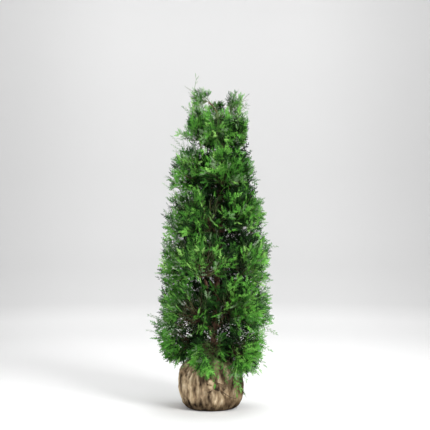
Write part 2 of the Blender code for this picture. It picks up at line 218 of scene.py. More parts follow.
def bark_material(name, dark, light, scale):
    """Fibrous bark: long strips of two browns with a fine relief."""
    made = bpy.data.materials.new(name)
    made.use_nodes = True
    nodes, links = made.node_tree.nodes, made.node_tree.links
    shader = nodes["Principled BSDF"]
    shader.inputs["Roughness"].default_value = 0.82
    shader.inputs["Specular IOR Level"].default_value = 0.30
    place = nodes.new("ShaderNodeTexCoord")
    stretch = nodes.new("ShaderNodeMapping")
    stretch.inputs["Scale"].default_value = (1.0, 1.0, 0.12)
    links.new(place.outputs["Object"], stretch.inputs["Vector"])
    grain = nodes.new("ShaderNodeTexNoise")
    grain.inputs["Scale"].default_value = scale
    grain.inputs["Detail"].default_value = 5.0
    links.new(stretch.outputs["Vector"], grain.inputs["Vector"])
    ramp = nodes.new("ShaderNodeValToRGB")
    ramp.color_ramp.elements[0].position = 0.36
    ramp.color_ramp.elements[0].color = (*dark, 1.0)
    ramp.color_ramp.elements[1].position = 0.66
    ramp.color_ramp.elements[1].color = (*light, 1.0)
    links.new(grain.outputs["Fac"], ramp.inputs["Fac"])
    links.new(ramp.outputs["Color"], shader.inputs["Base Color"])
    bump = nodes.new("ShaderNodeBump")
    bump.inputs["Strength"].default_value = 0.6
    bump.inputs["Distance"].default_value = 0.0015
    links.new(grain.outputs["Fac"], bump.inputs["Height"])
    links.new(bump.outputs["Normal"], shader.inputs["Normal"])
    return made


BARK = bark_material("bark", (0.055, 0.024, 0.015), (0.300, 0.160, 0.105), 260.0)
TWIG_BROWN = plain("twig_brown", (0.135, 0.066, 0.040), 0.70, 0.35)
TWIG_DARK = plain("twig_dark", (0.050, 0.026, 0.018), 0.75, 0.30)
TWIG_GREEN = plain("twig_green", (0.115, 0.190, 0.055), 0.55, 0.40)
TWIGS = [TWIG_BROWN, TWIG_DARK, TWIG_GREEN]


# ---------------------------------------------------------------- mesh helpers
def unit(v):
    v = np.asarray(v, float)
    length = math.sqrt(float(v @ v))
    return v / length if length > 1e-12 else np.array((0.0, 0.0, 1.0))


def mesh_object(name, verts, faces, materials, indices=None, smooth=False):
    mesh = bpy.data.meshes.new(name)
    verts = np.asarray(verts, np.float32)
    faces = np.asarray(faces, np.int32)
    mesh.vertices.add(len(verts))
    mesh.vertices.foreach_set("co", verts.ravel())
    mesh.loops.add(faces.size)
    mesh.loops.foreach_set("vertex_index", faces.ravel())
    mesh.polygons.add(len(faces))
    mesh.polygons.foreach_set("loop_start", np.arange(0, faces.size, faces.shape[1], dtype=np.int32))
    for material in materials:
        mesh.materials.append(material)
    if indices is not None:
        mesh.polygons.foreach_set("material_index", np.asarray(indices, np.int32))
    mesh.polygons.foreach_set("use_smooth", np.full(len(faces), smooth, bool))
    mesh.update(calc_edges=True)
    made = bpy.data.objects.new(name, mesh)
    SCENE.collection.objects.link(made)
    return made


class Tubes:
    """Gathers twigs as thin tapering tubes, to be joined into one mesh."""

    def __init__(self):
        self.verts, self.faces, self.slots, self.count = [], [], [], 0

    def add(self, points, radii, slot=0, sides=4):
        points = np.asarray(points, float)
        radii = np.asarray(radii, float)
        n = len(points)
        along = np.gradient(points, axis=0)
        along /= np.linalg.norm(along, axis=1)[:, None] + 1e-12
        first = np.cross(along[0], (0.13, 0.97, 0.21))
        side = unit(first)
        rings = []
        turn = np.arange(sides) * (2 * math.pi / sides)
        c, s = np.cos(turn)[:, None], np.sin(turn)[:, None]
        for k in range(n):
            side = unit(side - along[k] * (side @ along[k]))
            other = np.cross(along[k], side)
            rings.append(points[k] + radii[k] * (c * side + s * other))
        tip = points[-1] + along[-1] * radii[-1] * 1.5
        foot = points[0] - along[0] * radii[0] * 0.2
        verts = np.vstack([*rings, tip[None], foot[None]])
        ring = np.arange(sides)
        nxt = (ring + 1) % sides
        faces = []
        for k in range(n - 1):
            a, b = k * sides, (k + 1) * sides
            faces.append(np.stack([a + ring, a + nxt, b + nxt], 1))
            faces.append(np.stack([a + ring, b + nxt, b + ring], 1))
        last = (n - 1) * sides
        faces.append(np.stack([last + ring, last + nxt, np.full(sides, n * sides)], 1))
        faces.append(np.stack([nxt, ring, np.full(sides, n * sides + 1)], 1))
        faces = np.vstack(faces)
        self.verts.append(verts)
        self.faces.append(faces + self.count)
        self.slots.append(np.full(len(faces), slot, np.int32))
        self.count += len(verts)

    def build(self, name, materials=TWIGS):
        return mesh_object(name, np.vstack(self.verts), np.vstack(self.faces), materials, np.concatenate(self.slots), smooth=True)


# ---------------------------------------------------------------- fronds
def frond(seed, branchlets, spread, wide, forks):
    """One flat frond of unit length along +X in the plane z = 0: a midrib with branchlets of
    scale leaves to both sides in turn, the longer ones forked. Returns vertices and triangles."""
    rng = np.random.default_rng(seed)
    verts, faces = [], []
    z = np.array((0.0, 0.0, 1.0))

    def blade(p0, p1, width, bow=0.0, roll=0.0, kite=False):
        d = p1 - p0
        across = unit(np.cross(z, d))
        w = across * math.cos(roll) + z * math.sin(roll)
        n = len(verts)
        if kite:
            mid = p0 + d * 0.55
            verts.extend((p0, mid + w * width * 0.5, p1, mid - w * width * 0.5))
            faces.extend(((n, n + 1, n + 2), (n, n + 2, n + 3)))
            return
        mid = p0 + d * 0.52 + across * bow * np.linalg.norm(d)
        verts.extend((p0 - w * width * 0.30, p0 + w * width * 0.30, mid + w * width * 0.5, mid - w * width * 0.5, p1))
        faces.extend(((n, n + 1, n + 2), (n, n + 2, n + 3), (n + 3, n + 2, n + 4)))

    wave = rng.uniform(-0.02, 0.02, 3)
    axis = [np.array((0.0, 0.0, 0.0)), np.array((0.36, wave[0], 0.0)), np.array((0.70, wave[1], 0.0)), np.array((1.0, wave[2], 0.0))]
    widths = (0.036, 0.064, 0.060)
    n = len(verts)
    for p, w in zip(axis[:3], widths):
        verts.extend((p - np.array((0, w / 2, 0)), p + np.array((0, w / 2, 0))))
    verts.append(axis[3])
    faces.extend(((n, n + 2, n + 3), (n, n + 3, n + 1), (n + 2, n + 4, n + 5), (n + 2, n + 5, n + 3), (n + 4, n + 6, n + 5)))
    for k in range(branchlets):
        s = 0.13 + 0.74 * k / (branchlets - 1)
        hand = 1.0 if k % 2 else -1.0
        y = np.interp(s, (0.0, 0.36, 0.70, 1.0), (0.0, wave[0], wave[1], wave[2]))
        start = np.array((s, y, 0.0))
        length = wide * (1.0 - 0.68 * s) * rng.uniform(0.82, 1.15) * (0.78 if k < 1 else 1.0)
        angle = math.radians(spread * (1.0 - 0.28 * s) + rng.uniform(-5, 5))
        d = np.array((math.cos(angle), hand * math.sin(angle), rng.uniform(-0.16, 0.16)))
        end = start + d * length
        blade(start, end, 0.088, bow=-0.07 * hand, roll=rng.uniform(-0.5, 0.5))
        if length > 0.22 and forks:
            for part, size, way in ((0.42, 0.46, hand), (0.60, 0.34, -hand))[:forks]:
                turn = angle + way * hand * math.radians(38)
                fd = np.array((math.cos(turn), hand * math.sin(turn), rng.uniform(-0.2, 0.2)))
                root = start + d * length * part
                blade(root, root + fd * length * size, 0.080, roll=rng.uniform(-0.4, 0.4), kite=True)
    return np.array(verts), np.array(faces, np.int32)


FRONDS = [frond(11, 7, 46, 0.44, 1), frond(12, 8, 42, 0.40, 1), frond(13, 6, 50, 0.47, 1), frond(14, 7, 40, 0.38, 1),
          frond(15, 6, 44, 0.50, 1), frond(16, 8, 48, 0.36, 0), frond(17, 6, 42, 0.46, 1), frond(18, 7, 50, 0.42, 0)]
SLIM = [frond(21, 8, 36, 0.27, 0), frond(22, 7, 40, 0.24, 0), frond(23, 9, 34, 0.25, 0)]
KINDS = FRONDS + SLIM
FIRST_SLIM = len(FRONDS)


class Leaves:
    """Gathers fronds by place, direction, size and tint, to be joined into one mesh."""

    def __init__(self):
        self.rows = []

    def add(self, place, along, normal, size, droop, kind, tint):
        along = unit(along)
        normal = unit(normal - along * float(normal @ along))
        self.rows.append((*place, *along, *normal, size, droop, kind, tint))

    def triangles(self):
        return sum(len(KINDS[int(row[11])][1]) for row in self.rows)

    def build(self, name):
        rows = np.array(self.rows)
        verts, faces, slots, count = [], [], [], 0
        for kind, (shape, tris) in enumerate(KINDS):
            these = rows[rows[:, 11] == kind]
            if not len(these):
                continue
            place, x, n = these[:, 0:3], these[:, 3:6], these[:, 6:9]
            size, droop, tint = these[:, 9], these[:, 10], these[:, 12].astype(int)
            y = np.cross(n, x)
            lx, ly, lz = shape[:, 0], shape[:, 1], shape[:, 2]
            bent = lz[None] + droop[:, None] * (lx[None] ** 2 + 0.6 * ly[None] ** 2)
            local = (lx[None, :, None] * x[:, None] + ly[None, :, None] * y[:, None] + bent[:, :, None] * n[:, None])
            v = place[:, None] + size[:, None, None] * local
            f = tris[None] + (count + np.arange(len(these)) * len(shape))[:, None, None]
            verts.append(v.reshape(-1, 3))
            faces.append(f.reshape(-1, 3))
            slots.append(np.repeat(tint, len(tris)))
            count += len(these) * len(shape)
        return mesh_object(name, np.vstack(verts), np.vstack(faces), [LEAF[t] for t in TINTS], np.concatenate(slots))


# ---------------------------------------------------------------- growth
# Outline of the dense crown in front view: height, left, right.
SIDES = np.array((
    (0.060, -0.100, 0.130), (0.150, -0.130, 0.185), (0.200, -0.175, 0.215), (0.250, -0.215, 0.250),
    (0.320, -0.270, 0.285), (0.380, -0.300, 0.310), (0.440, -0.310, 0.325), (0.520, -0.300, 0.330),
    (0.600, -0.290, 0.325), (0.680, -0.290, 0.310), (0.760, -0.265, 0.300), (0.840, -0.265, 0.300),
    (0.900, -0.270, 0.310), (0.960, -0.265, 0.295), (1.020, -0.265, 0.275), (1.070, -0.250, 0.255),
    (1.120, -0.230, 0.245), (1.160, -0.215, 0.215), (1.220, -0.215, 0.200), (1.280, -0.215, 0.178),
    (1.340, -0.205, 0.175), (1.390, -0.190, 0.170), (1.440, -0.175, 0.165), (1.500, -0.140, 0.162),
    (1.560, -0.118, 0.162), (1.620, -0.112, 0.160), (1.680, -0.105, 0.165), (1.760, -0.100, 0.165)))

# Dark openings in the front of the crown: column, row, half width, half height, and how deep they go.
WINDOWS = ((212, 206, 9, 9, -0.03), (181, 243, 8, 8, -0.03), (187, 322, 8, 22, -0.05), (225, 318, 4, 27, -0.04),
           (209, 262, 5, 22, -0.02), (219, 245, 3, 12, -0.02), (198, 302, 7, 10, -0.05), (214, 352, 6, 14, -0.08),
           (207, 345, 4, 10, -0.05), (220, 203, 4, 9, -0.02), (182, 205, 7, 10, -0.06))


def edge_left(z):
    return float(np.interp(z, SIDES[:, 0], SIDES[:, 1]))


def edge_right(z):
    return float(np.interp(z, SIDES[:, 0], SIDES[:, 2]))


def seen(p):
    """Column and row at which the camera sees a point."""
    away = (CAMERA_BACK + p[1]) / CAMERA_BACK
    return 215.0 + (p[0] - 4.0 * PIXEL) / (PIXEL * away), 215.0 - (p[2] - CAMERA_Z) / (PIXEL * away)


def open_here(p):
    column, row = seen(p)
    for c, r, w, h, deep in WINDOWS:
        if p[1] < deep and ((column - c) / w) ** 2 + ((row - r) / h) ** 2 < 1.0:
            return True
    return False


TRUNK = ((0.012, 0.000, BALL_H), (0.013, 0.000, BALL_H + 0.045), (0.018, -0.004, 0.420), (0.028, 0.003, 0.600),
         (0.040, 0.006, 0.800), (0.050, 0.000, 1.000), (0.058, -0.005, 1.180), (0.061, -0.003, 1.340), (0.060, 0.0, 1.475))
TRUNK_ZS = [p[2] for p in TRUNK]


def trunk_at(z):
    return np.array((np.interp(z, TRUNK_ZS, [p[0] for p in TRUNK]), np.interp(z, TRUNK_ZS, [p[1] for p in TRUNK]), z))


def hull_of(node):
    mesh = NODES[node].data
    mesh.calc_loop_triangles()
    return BVHTree.FromPolygons([v.co.copy() for v in mesh.vertices], [tuple(t.vertices) for t in mesh.loop_triangles])


class Mass:
    def __init__(self, name):
        self.name = name
        self.tree = hull_of(name)
        co = np.array([v.co for v in NODES[name].data.vertices], float)
        lo, hi = np.percentile(co, 8, axis=0), np.percentile(co, 92, axis=0)
        self.centre = (lo + hi) / 2
        self.low, self.high = co.min(0), co.max(0)

    def far(self, d):
        hit = self.tree.ray_cast(Vector(self.centre), Vector(d))
        return hit[3] if hit[0] is not None else 0.05

    def inside(self, p, slack=0.0):
        d = p - self.centre
        length = np.linalg.norm(d)
        if length < 1e-6:
            return True
        return length < self.far(d / length) + slack


def tint_for(rng, p, depth):
    """Tint of a spray: depth is 1 at the crown's surface and 0 at the trunk. Deep sprays take the near-black and deep
    tints, painted shade in the crown's core as well as its darker inner foliage; further right the brighter tints come
    more often, painted light from that side.
    """
    # painted light: further right the brighter tints come more often
    side = float(np.clip((p[0] + 0.1) / 0.35, 0, 1))
    roll = rng.random()
    # the head's sprays count as nearer the surface, so they take less painted shade
    depth += float(np.interp(p[2], (1.35, 1.50), (0.0, 0.35)))
    # painted shade: sprays deep in the crown take the near-black and deep tints
    if depth < 0.55:
        return 0 if roll < 0.72 else 1
    if depth < 0.75:
        return 0 if roll < 0.25 else 1 if roll < 0.75 else 2
    cut = np.cumsum((0.08, 0.20 - 0.06 * side, 0.25 - 0.05 * side, 0.22 + 0.04 * side, 0.14 + 0.04 * side, 0.06, 0.05 + 0.03 * side))
    return int(np.searchsorted(cut / cut[-1], roll))


def spray(leaves, twigs, rng, p0, p1, normal, size, tint, spacing=0.0155, bare=0.16, bend=None, thick=0.0010,
          droop=0.10, slim=False, wood=2, opening=48.0, fade=0.45, check=True):
    """A flat spray: a twig from p0 to p1 with fronds to both sides in turn, in the plane across normal."""
    axis = p1 - p0
    length = float(np.linalg.norm(axis))
    if length < 0.006:
        return
    d = axis / length
    n = unit(normal - d * float(normal @ d))
    bend = np.zeros(3) if bend is None else bend
    ts = np.linspace(0, 1, 5)
    path = p0 + axis * ts[:, None] + bend * (4 * ts * (1 - ts))[:, None]
    twigs.add(path, thick * (1 - 0.6 * ts), wood, 3)
    side = np.cross(n, d)
    count = max(2, int(round(length * (1 - bare) / spacing)))
    hand = 1.0 if rng.random() < 0.5 else -1.0
    for k in range(count):
        t = bare + (1 - bare) * (k + rng.uniform(0.2, 0.8)) / count
        p = p0 + axis * t + bend * (4 * t * (1 - t))
        if check and open_here(p):
            continue
        hand = -hand
        angle = math.radians(opening - 14 * t + rng.normal(0, 6))
        along = d * math.cos(angle) + side * hand * math.sin(angle) + n * rng.normal(0, 0.16)
        own = n + rng.normal(0, 0.28, 3)
        s = size * (1 - fade * t) * rng.uniform(0.82, 1.18)
        kind = FIRST_SLIM + rng.integers(len(SLIM)) if slim else rng.integers(len(FRONDS))
        leaves.add(p, along, own, s, droop * float(-(unit(own) @ UP)) + rng.normal(0, 0.05), kind, tint)
    if not (check and open_here(p1)):
        leaves.add(p1 - d * 0.002, d + rng.normal(0, 0.08, 3), n + rng.normal(0, 0.2, 3), size * (1 - 0.3 * fade) * rng.uniform(0.8, 1.05),
                   droop * float(-(n @ UP)), FIRST_SLIM + rng.integers(len(SLIM)) if slim else rng.integers(len(FRONDS)), tint)


def bezier(a, b, c, count):
    t = np.linspace(0, 1, count)[:, None]
    return a * (1 - t) ** 2 + b * 2 * t * (1 - t) + c * t * t


def limb(leaves, twigs, rng, mass, base, target, lift, reach, size, tints, r0=0.0022):
    """A side bough from base to target, with flat sprays to both sides in turn and one at its tip."""
    chord = target - base
    length = float(np.linalg.norm(chord))
    if length < 0.02:
        return
    middle = base + chord * 0.5 - UP * lift * length
    path = bezier(base, middle, target, 7)
    ts = np.linspace(0, 1, 7)
    high = base[2] > 1.42
    twigs.add(path, (0.6 if high else 1.0) * r0 * (1 - 0.65 * ts), 2 if high else 0 if rng.random() < 0.35 else 1, 4)
    d = chord / length
    roll = rng.uniform(0, math.pi)
    a = unit(np.cross(d, UP + 0.01))
    b = np.cross(d, a)
    n = a * math.cos(roll) + b * math.sin(roll)
    start = 0.42
    count = max(3, int(round(length * (1 - start) / 0.019)))
    hand = 1.0
    for k in range(count):
        t = start + (1 - start) * (k + rng.uniform(0.25, 0.75)) / count
        p = (base * (1 - t) ** 2 + middle * 2 * t * (1 - t) + target * t * t)
        tangent = unit((middle - base) * (1 - t) + (target - middle) * t)
        side = unit(np.cross(n, tangent))
        hand = -hand
        angle = math.radians(50 - 12 * t + rng.normal(0, 7))
        way = unit(tangent * math.cos(angle) + side * hand * math.sin(angle) + n * rng.normal(0, 0.22))
        way = unit(way + UP * float(np.interp(p[2], (0.30, 0.45, 0.70, 1.40), (-0.55, 0.15, 0.55, 0.95))))
        far = reach * (1 - 0.50 * t) * rng.uniform(0.75, 1.2)
        end = p + way * far
        for _ in range(4):
            if mass.inside(end + way * size * 0.45, 0.020) and within_outline(end + way * size * 0.6):
                break
            far *= 0.75
            end = p + way * far
        out = unit(np.array((p[0] - 0.04, p[1], 0.0)))
        own = unit(n + rng.normal(0, 0.42, 3) + out * 0.9 * (1 if n @ out >= 0 else -1))
        depth = depth_of(end)
        spray(leaves, twigs, rng, p, end, own, size * rng.uniform(0.85, 1.15), tints(rng, end, depth), bend=UP * far * rng.uniform(-0.02, 0.06))
    end = target + unit(target - middle) * reach * 0.5
    for _ in range(4):
        if mass.inside(end + d * size * 0.45, 0.022) and within_outline(end + d * size * 0.6):
            break
        end = target + (end - target) * 0.7
    spray(leaves, twigs, rng, target, end, n, size, tints(rng, end, depth_of(end)))


def within_outline(p):
    wobble = 0.012 * math.sin(31.0 * p[2] + 9.0 * p[1]) + 0.008 * math.sin(77.0 * p[2] + 3.0)
    return edge_left(p[2]) - wobble < p[0] < edge_right(p[2]) + wobble


def depth_of(p):
    """1 at the crown's surface, 0 at the trunk."""
    t = trunk_at(min(p[2], 1.475))
    across = math.hypot(p[0] - t[0], p[1] - t[1])
    wide = 0.5 * (edge_right(p[2]) - edge_left(p[2]))
    return across / max(0.05, wide)


def ball_inside(p):
    """True inside the wrapped ball."""
    if p[2] > BALL_H + 0.01 or p[2] < -0.01:
        return False
    z = min(max(p[2], 0.0), BALL_H)
    if z < BALL_BELLY_Z:
        a = math.acos(1 - z / BALL_BELLY_Z)
        r = FOOT_R + (BALL_R - FOOT_R) * math.sin(a) ** 0.85
    else:
        a = math.asin(min(1.0, ((z - BALL_BELLY_Z) / (BALL_H - BALL_BELLY_Z)) ** (1 / 1.15)))
        r = 0.046 + (BALL_R - 0.046) * math.cos(a) ** 0.62
    return math.hypot(p[0], p[1]) < r + 0.012


def directions(count, seed):
    k = np.arange(count) + 0.5
    polar = np.arccos(1 - 2 * k / count)
    turn = math.pi * (1 + 5 ** 0.5) * k + seed
    return np.stack([np.cos(turn) * np.sin(polar), np.sin(turn) * np.sin(polar), np.cos(polar)], 1)


def entry_of(name):
    """Where the bough enters its mass: the far end of the bough's solid."""
    special = {"middle_mass_1": "stem_left", "middle_mass_2": "stem_right", "head_left": "shoot_left",
               "top_left": "leader_left", "top_right": "leader_right"}
    bough = special.get(name, name.replace("_mass_", "_bough_"))
    if bough not in NODES:
        return None
    co = np.array([v.co for v in NODES[bough].data.vertices], float)
    t = trunk_at(1.0)
    if bough.startswith(("stem", "shoot", "leader")):
        return co[co[:, 2] > co[:, 2].max() - 0.004].mean(0)
    start = trunk_at(co[:, 2].min())
    away = np.linalg.norm(co - start, axis=1)
    return co[away > away.max() - 0.004].mean(0)


def grow(name, targets, size, reach, lift, skin, extra=0.0):
    mass = Mass(name)
    rng = np.random.default_rng(abs(hash_name(name)))
    leaves, twigs = Leaves(), Tubes()
    base = entry_of(name)
    if base is None:
        base = trunk_at(min(1.46, mass.centre[2] - 0.08)) if not name.startswith("top") else np.array((0.055, 0.0, 1.49))
    # the bough runs on inside its mass
    heart = base + (mass.centre - base) * 0.75
    twigs.add(bezier(base, base + (heart - base) * 0.5 - UP * 0.01, heart, 6), np.linspace(0.0036, 0.0020, 6) * (0.6 if base[2] > 1.42 else 1.0), 2 if base[2] > 1.42 else 1, 6)
    picked = []
    for d in directions(targets, rng.uniform(0, 6)):
        d = unit(d + rng.normal(0, 0.10, 3))
        far = mass.far(d)
        p = mass.centre + d * far
        depth = depth_of(p)
        if depth < 0.50 and rng.random() > extra:
            continue
        picked.append((p, d, far, depth))
    for p, d, far, depth in picked:
        target = mass.centre + d * max(0.02, far - skin * rng.uniform(0.8, 1.3))
        if ball_inside(target):
            continue
        along = float(np.clip(0.15 + 0.75 * (target[2] - base[2]) / 0.25, 0.0, 0.9))
        root = base + (heart - base) * along * rng.uniform(0.6, 1.0)
        rise = lift(target) if callable(lift) else lift
        limb(leaves, twigs, rng, mass, root, target, rise + rng.normal(0, 0.03), reach, size, tint_for)
    return leaves, twigs


def hash_name(name):
    value = 17
    for letter in name:
        value = (value * 131 + ord(letter)) % 1000003
    return value


def finish_mass(name, leaves, twigs):
    # nothing grows into the cloth of the ball, or out past the box round the imported model
    kept = []
    for row in leaves.rows:
        p = np.array(row[0:3])
        tip = p + np.array(row[3:6]) * row[9]
        if ball_inside(tip) or ball_inside(p):
            continue
        if (tip < ROOM_LOW).any() or (tip > ROOM_HIGH).any():
            continue
        kept.append(row)
    leaves.rows = kept
    a = leaves.build(name + "_sprays")
    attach(a, "root")
    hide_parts(name)
    b = twigs.build(name + "_twigs")
    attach(b, "root")
    return len(a.data.polygons), len(b.data.polygons)


ROOM_LOW, ROOM_HIGH = np.array(CAD_BOX[0]) - 0.006, np.array(CAD_BOX[1]) + 0.006
TOTAL = {}
MASS_NAMES = [n for n in NODES if "_mass_" in n or n.startswith(("head_", "top_"))]
for name in sorted(MASS_NAMES):
    if name.startswith("top_"):
        plan = dict(targets=20, size=0.030, reach=0.035, lift=0.10, skin=0.026, extra=1.0)
    elif name.startswith("head_"):
        plan = dict(targets=38, size=0.046, reach=0.060, lift=0.12, skin=0.028, extra=0.3)
    elif name.startswith("skirt"):
        plan = dict(targets=38, size=0.056, reach=0.075, lift=-0.06, skin=0.026, extra=0.15)
    else:
        plan = dict(targets=50, size=0.053, reach=0.080, lift=0.10, skin=0.026, extra=0.15)
    leaves, twigs = grow(name, **plan)
    TOTAL[name] = finish_mass(name, leaves, twigs)
print("leaf triangles", sum(a for a, b in TOTAL.values()), "twig triangles", sum(b for a, b in TOTAL.values()))
print(TOTAL)


# ---------------------------------------------------------------- sprays round the trunk, tinted near-black and deep green: painted shade in the crown's core
leaves, twigs = Leaves(), Tubes()
rng = np.random.default_rng(90210)
for k in range(900):
    z = rng.uniform(0.24, 1.54)
    root = trunk_at(min(z, 1.46))
    turn = k * 2.399963
    wide = 0.5 * (edge_right(z) - edge_left(z))
    way = unit((math.cos(turn), math.sin(turn), rng.uniform(0.2, 0.8)))
    end = root + way * wide * rng.uniform(0.30, 0.78)
    if ball_inside(end):
        continue
    facing = unit(np.array((math.sin(turn) * 0.3, -1.0, 0.0)) + rng.normal(0, 0.45, 3))
    # painted shade: seven in ten take the near-black shade tint, the rest the deep green
    spray(leaves, twigs, rng, root + way * 0.010, end, facing, 0.066, 0 if rng.random() < 0.70 else 1, spacing=0.026, bare=0.30,
          thick=0.0016, wood=1, check=False)
piece = leaves.build("inner_sprays")
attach(piece, "root")
piece = twigs.build("inner_twigs")
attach(piece, "root")


# ---------------------------------------------------------------- sprays that stand out of the crown
# Tip and foot of each by column and row, depth, frond size, and tint.
STAND_OUT = (
    ((183.9, 85.5), (192.5, 91.0), -0.010, 0.012, 6), ((187.9, 91.8), (194.6, 97.5), -0.015, 0.014, 1), ((190.0, 101.9), (196.0, 98.0), -0.010, 0.014, 1),
    ((197.2, 91.5), (198.6, 124.0), -0.012, 0.022, 2), ((193.6, 92.0), (197.0, 112.0), -0.016, 0.018, 3), ((202.4, 99.5), (203.4, 118.0), -0.008, 0.018, 2),
    ((181.0, 105.6), (196.0, 118.5), -0.014, 0.022, 2), ((192.4, 107.6), (195.0, 116.0), -0.010, 0.016, 2), ((187.8, 115.0), (197.5, 119.0), 0.010, 0.020, 3),
    ((188.6, 122.8), (200.0, 121.8), -0.020, 0.026, 4), ((182.3, 125.4), (197.5, 134.0), -0.010, 0.016, 6), ((208.9, 97.2), (208.6, 116.0), 0.000, 0.014, 6),
    ((213.0, 104.0), (212.4, 122.0), 0.010, 0.020, 3), ((217.4, 101.6), (218.0, 118.0), 0.004, 0.018, 2), ((222.8, 109.5), (222.2, 124.0), -0.010, 0.018, 3),
    ((227.7, 101.8), (228.2, 120.0), -0.004, 0.016, 2), ((231.2, 94.2), (229.4, 120.0), -0.006, 0.022, 3), ((235.1, 97.0), (233.6, 118.0), 0.006, 0.018, 2),
    ((241.5, 91.6), (237.6, 114.0), -0.002, 0.018, 3), ((249.6, 93.4), (240.0, 102.5), 0.004, 0.015, 1), ((248.6, 99.6), (241.0, 101.5), 0.004, 0.012, 1),
    ((250.7, 105.4), (239.5, 104.5), 0.010, 0.016, 2), ((249.8, 109.2), (240.5, 106.5), 0.000, 0.013, 2), ((246.8, 113.4), (235.0, 114.6), -0.010, 0.022, 3),
    ((247.6, 125.6), (238.0, 119.5), -0.004, 0.022, 3), ((245.4, 132.0), (235.0, 130.5), -0.010, 0.024, 4), ((247.3, 143.2), (238.5, 147.5), -0.006, 0.014, 6),
    ((170.3, 134.6), (182.0, 146.5), -0.010, 0.018, 2), ((181.8, 135.8), (184.5, 147.0), -0.014, 0.016, 2), ((187.0, 139.0), (189.5, 149.0), -0.018, 0.016, 3),
    ((170.2, 143.6), (181.0, 150.0), -0.006, 0.018, 3), ((171.6, 150.9), (182.0, 152.0), -0.012, 0.018, 2), ((171.4, 157.8), (183.0, 158.6), -0.010, 0.020, 2),
    ((173.2, 164.6), (184.0, 162.0), -0.016, 0.020, 1), ((247.5, 152.0), (238.0, 156.0), -0.004, 0.016, 1), ((249.9, 164.6), (240.5, 170.0), 0.000, 0.016, 2),
    ((161.5, 182.2), (178.0, 194.5), -0.030, 0.018, 4), ((168.4, 192.2), (181.0, 205.0), -0.040, 0.014, 4), ((250.8, 181.4), (242.0, 187.0), -0.010, 0.024, 3),
    ((252.6, 187.0), (243.0, 191.0), -0.020, 0.024, 4), ((253.9, 195.5), (246.0, 200.0), -0.016, 0.020, 3), ((256.9, 198.4), (252.0, 210.0), 0.000, 0.024, 1),
    ((261.0, 199.2), (253.0, 211.0), 0.004, 0.024, 1), ((264.6, 201.6), (253.0, 212.5), 0.002, 0.026, 2), ((263.7, 210.0), (252.0, 214.5), -0.010, 0.026, 2),
    ((166.4, 201.6), (170.5, 212.0), -0.010, 0.018, 1), ((160.3, 213.8), (171.5, 221.0), -0.020, 0.026, 1), ((163.0, 209.0), (171.0, 217.0), 0.010, 0.022, 2),
    ((161.0, 224.0), (172.5, 222.6), -0.024, 0.026, 2), ((164.2, 229.5), (173.0, 224.8), -0.020, 0.022, 2), ((161.8, 242.2), (172.0, 246.0), -0.016, 0.028, 3),
    ((159.5, 253.2), (171.0, 254.4), -0.020, 0.030, 3), ((163.2, 264.0), (174.0, 262.0), -0.016, 0.028, 2), ((154.8, 276.2), (169.5, 283.0), -0.030, 0.028, 1),
    ((157.4, 272.4), (169.0, 277.5), 0.006, 0.024, 1), ((266.8, 224.6), (254.0, 230.0), -0.006, 0.030, 3), ((268.5, 233.0), (255.0, 236.0), -0.020, 0.030, 3),
    ((278.8, 246.6), (262.5, 246.0), -0.004, 0.022, 6), ((270.4, 240.5), (256.0, 243.5), 0.010, 0.030, 2), ((269.8, 255.4), (257.0, 248.5), -0.014, 0.030, 6),
    ((266.4, 263.6), (255.0, 261.0), -0.020, 0.028, 3), ((271.6, 275.0), (258.5, 275.0), -0.010, 0.028, 3), ((273.0, 279.9), (259.0, 282.4), -0.030, 0.028, 3),
    ((270.4, 288.4), (257.0, 287.0), -0.010, 0.030, 2), ((269.6, 296.6), (257.5, 290.0), -0.020, 0.028, 3), ((160.4, 290.2), (172.0, 292.0), -0.010, 0.026, 2),
    ((163.0, 299.5), (173.0, 300.0), -0.030, 0.026, 2), ((146.4, 314.0), (166.0, 320.0), -0.014, 0.024, 6), ((158.0, 322.8), (170.0, 326.0), -0.040, 0.026, 2),
    ((144.9, 329.6), (163.0, 334.0), -0.010, 0.020, 6), ((154.6, 330.6), (167.0, 337.0), -0.030, 0.026, 3), ((155.4, 338.4), (168.0, 340.5), -0.020, 0.028, 3),
    ((158.4, 344.6), (170.0, 343.5), -0.040, 0.030, 3), ((162.4, 350.0), (173.0, 346.5), -0.030, 0.028, 6), ((168.4, 357.4), (178.0, 349.0), -0.040, 0.030, 6),
    ((174.6, 365.4), (183.0, 353.0), -0.050, 0.028, 3), ((181.4, 369.0), (187.0, 356.0), -0.070, 0.026, 6), ((272.2, 306.2), (259.0, 311.0), -0.006, 0.030, 3),
    ((273.9, 316.0), (260.5, 319.0), -0.020, 0.030, 3), ((278.6, 335.2), (262.0, 327.5), -0.030, 0.026, 3), ((266.4, 340.6), (254.0, 334.0), -0.050, 0.030, 4),
    ((273.4, 351.8), (257.5, 344.0), -0.050, 0.028, 3), ((267.4, 368.4), (253.0, 352.0), -0.060, 0.034, 3), ((261.4, 373.6), (250.0, 354.0), -0.080, 0.034, 4),
    ((253.0, 376.6), (244.5, 357.0), -0.110, 0.034, 4), ((247.4, 384.0), (240.0, 362.0), -0.140, 0.034, 4), ((236.8, 398.0), (235.6, 372.0), -0.172, 0.032, 3),
    ((240.4, 392.0), (239.0, 370.0), -0.165, 0.030, 2), ((214.4, 388.6), (212.5, 364.0), -0.205, 0.030, 3), ((206.6, 380.6), (205.0, 362.0), -0.200, 0.030, 2),
    ((227.4, 384.6), (222.6, 364.0), -0.205, 0.030, 2), ((218.0, 379.0), (217.0, 360.0), -0.200, 0.026, 3), ((209.5, 366.4), (196.0, 361.5), -0.170, 0.024, 4),
)

